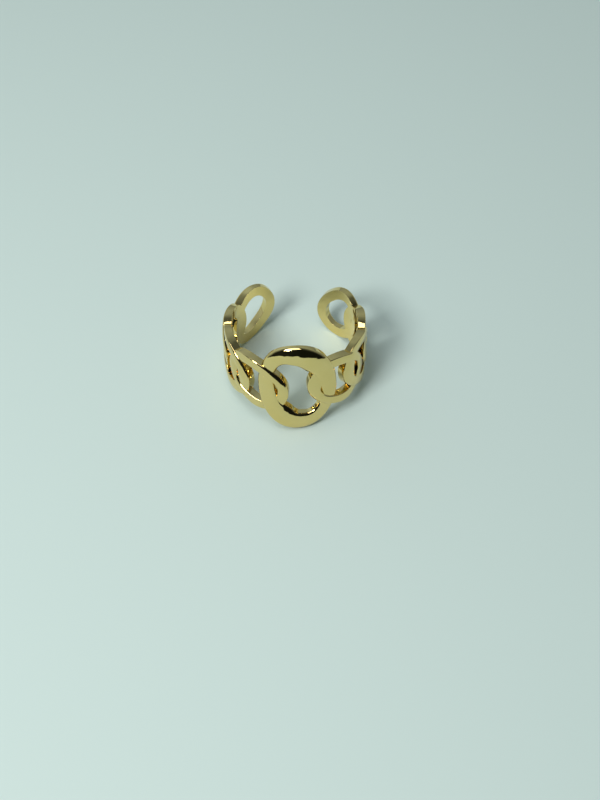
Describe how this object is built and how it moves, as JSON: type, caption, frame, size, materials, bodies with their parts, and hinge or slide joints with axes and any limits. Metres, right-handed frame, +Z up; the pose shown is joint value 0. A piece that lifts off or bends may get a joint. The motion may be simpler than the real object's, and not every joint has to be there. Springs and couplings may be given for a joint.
{
  "type": "ring",
  "caption": "Open curb chain ring in polished gold tone: oval links fused into one band, a taller link at the front, two loop ends facing across the gap at the back.",
  "frame": {"origin": "centre of the bounding box at its base, where the ring lies on its side", "axes": "+Z up from the surface the ring lies on, front link toward -Y, open back toward +Y; the finger hollow leans back from +Z because the front link is taller than the ends"},
  "size_m": [0.02, 0.0202, 0.0143],
  "materials": {
    "gold": "mirror-polished gold plating"
  },
  "bodies": {
    "root": {"ring": "gold"}
  },
  "joints": []
}
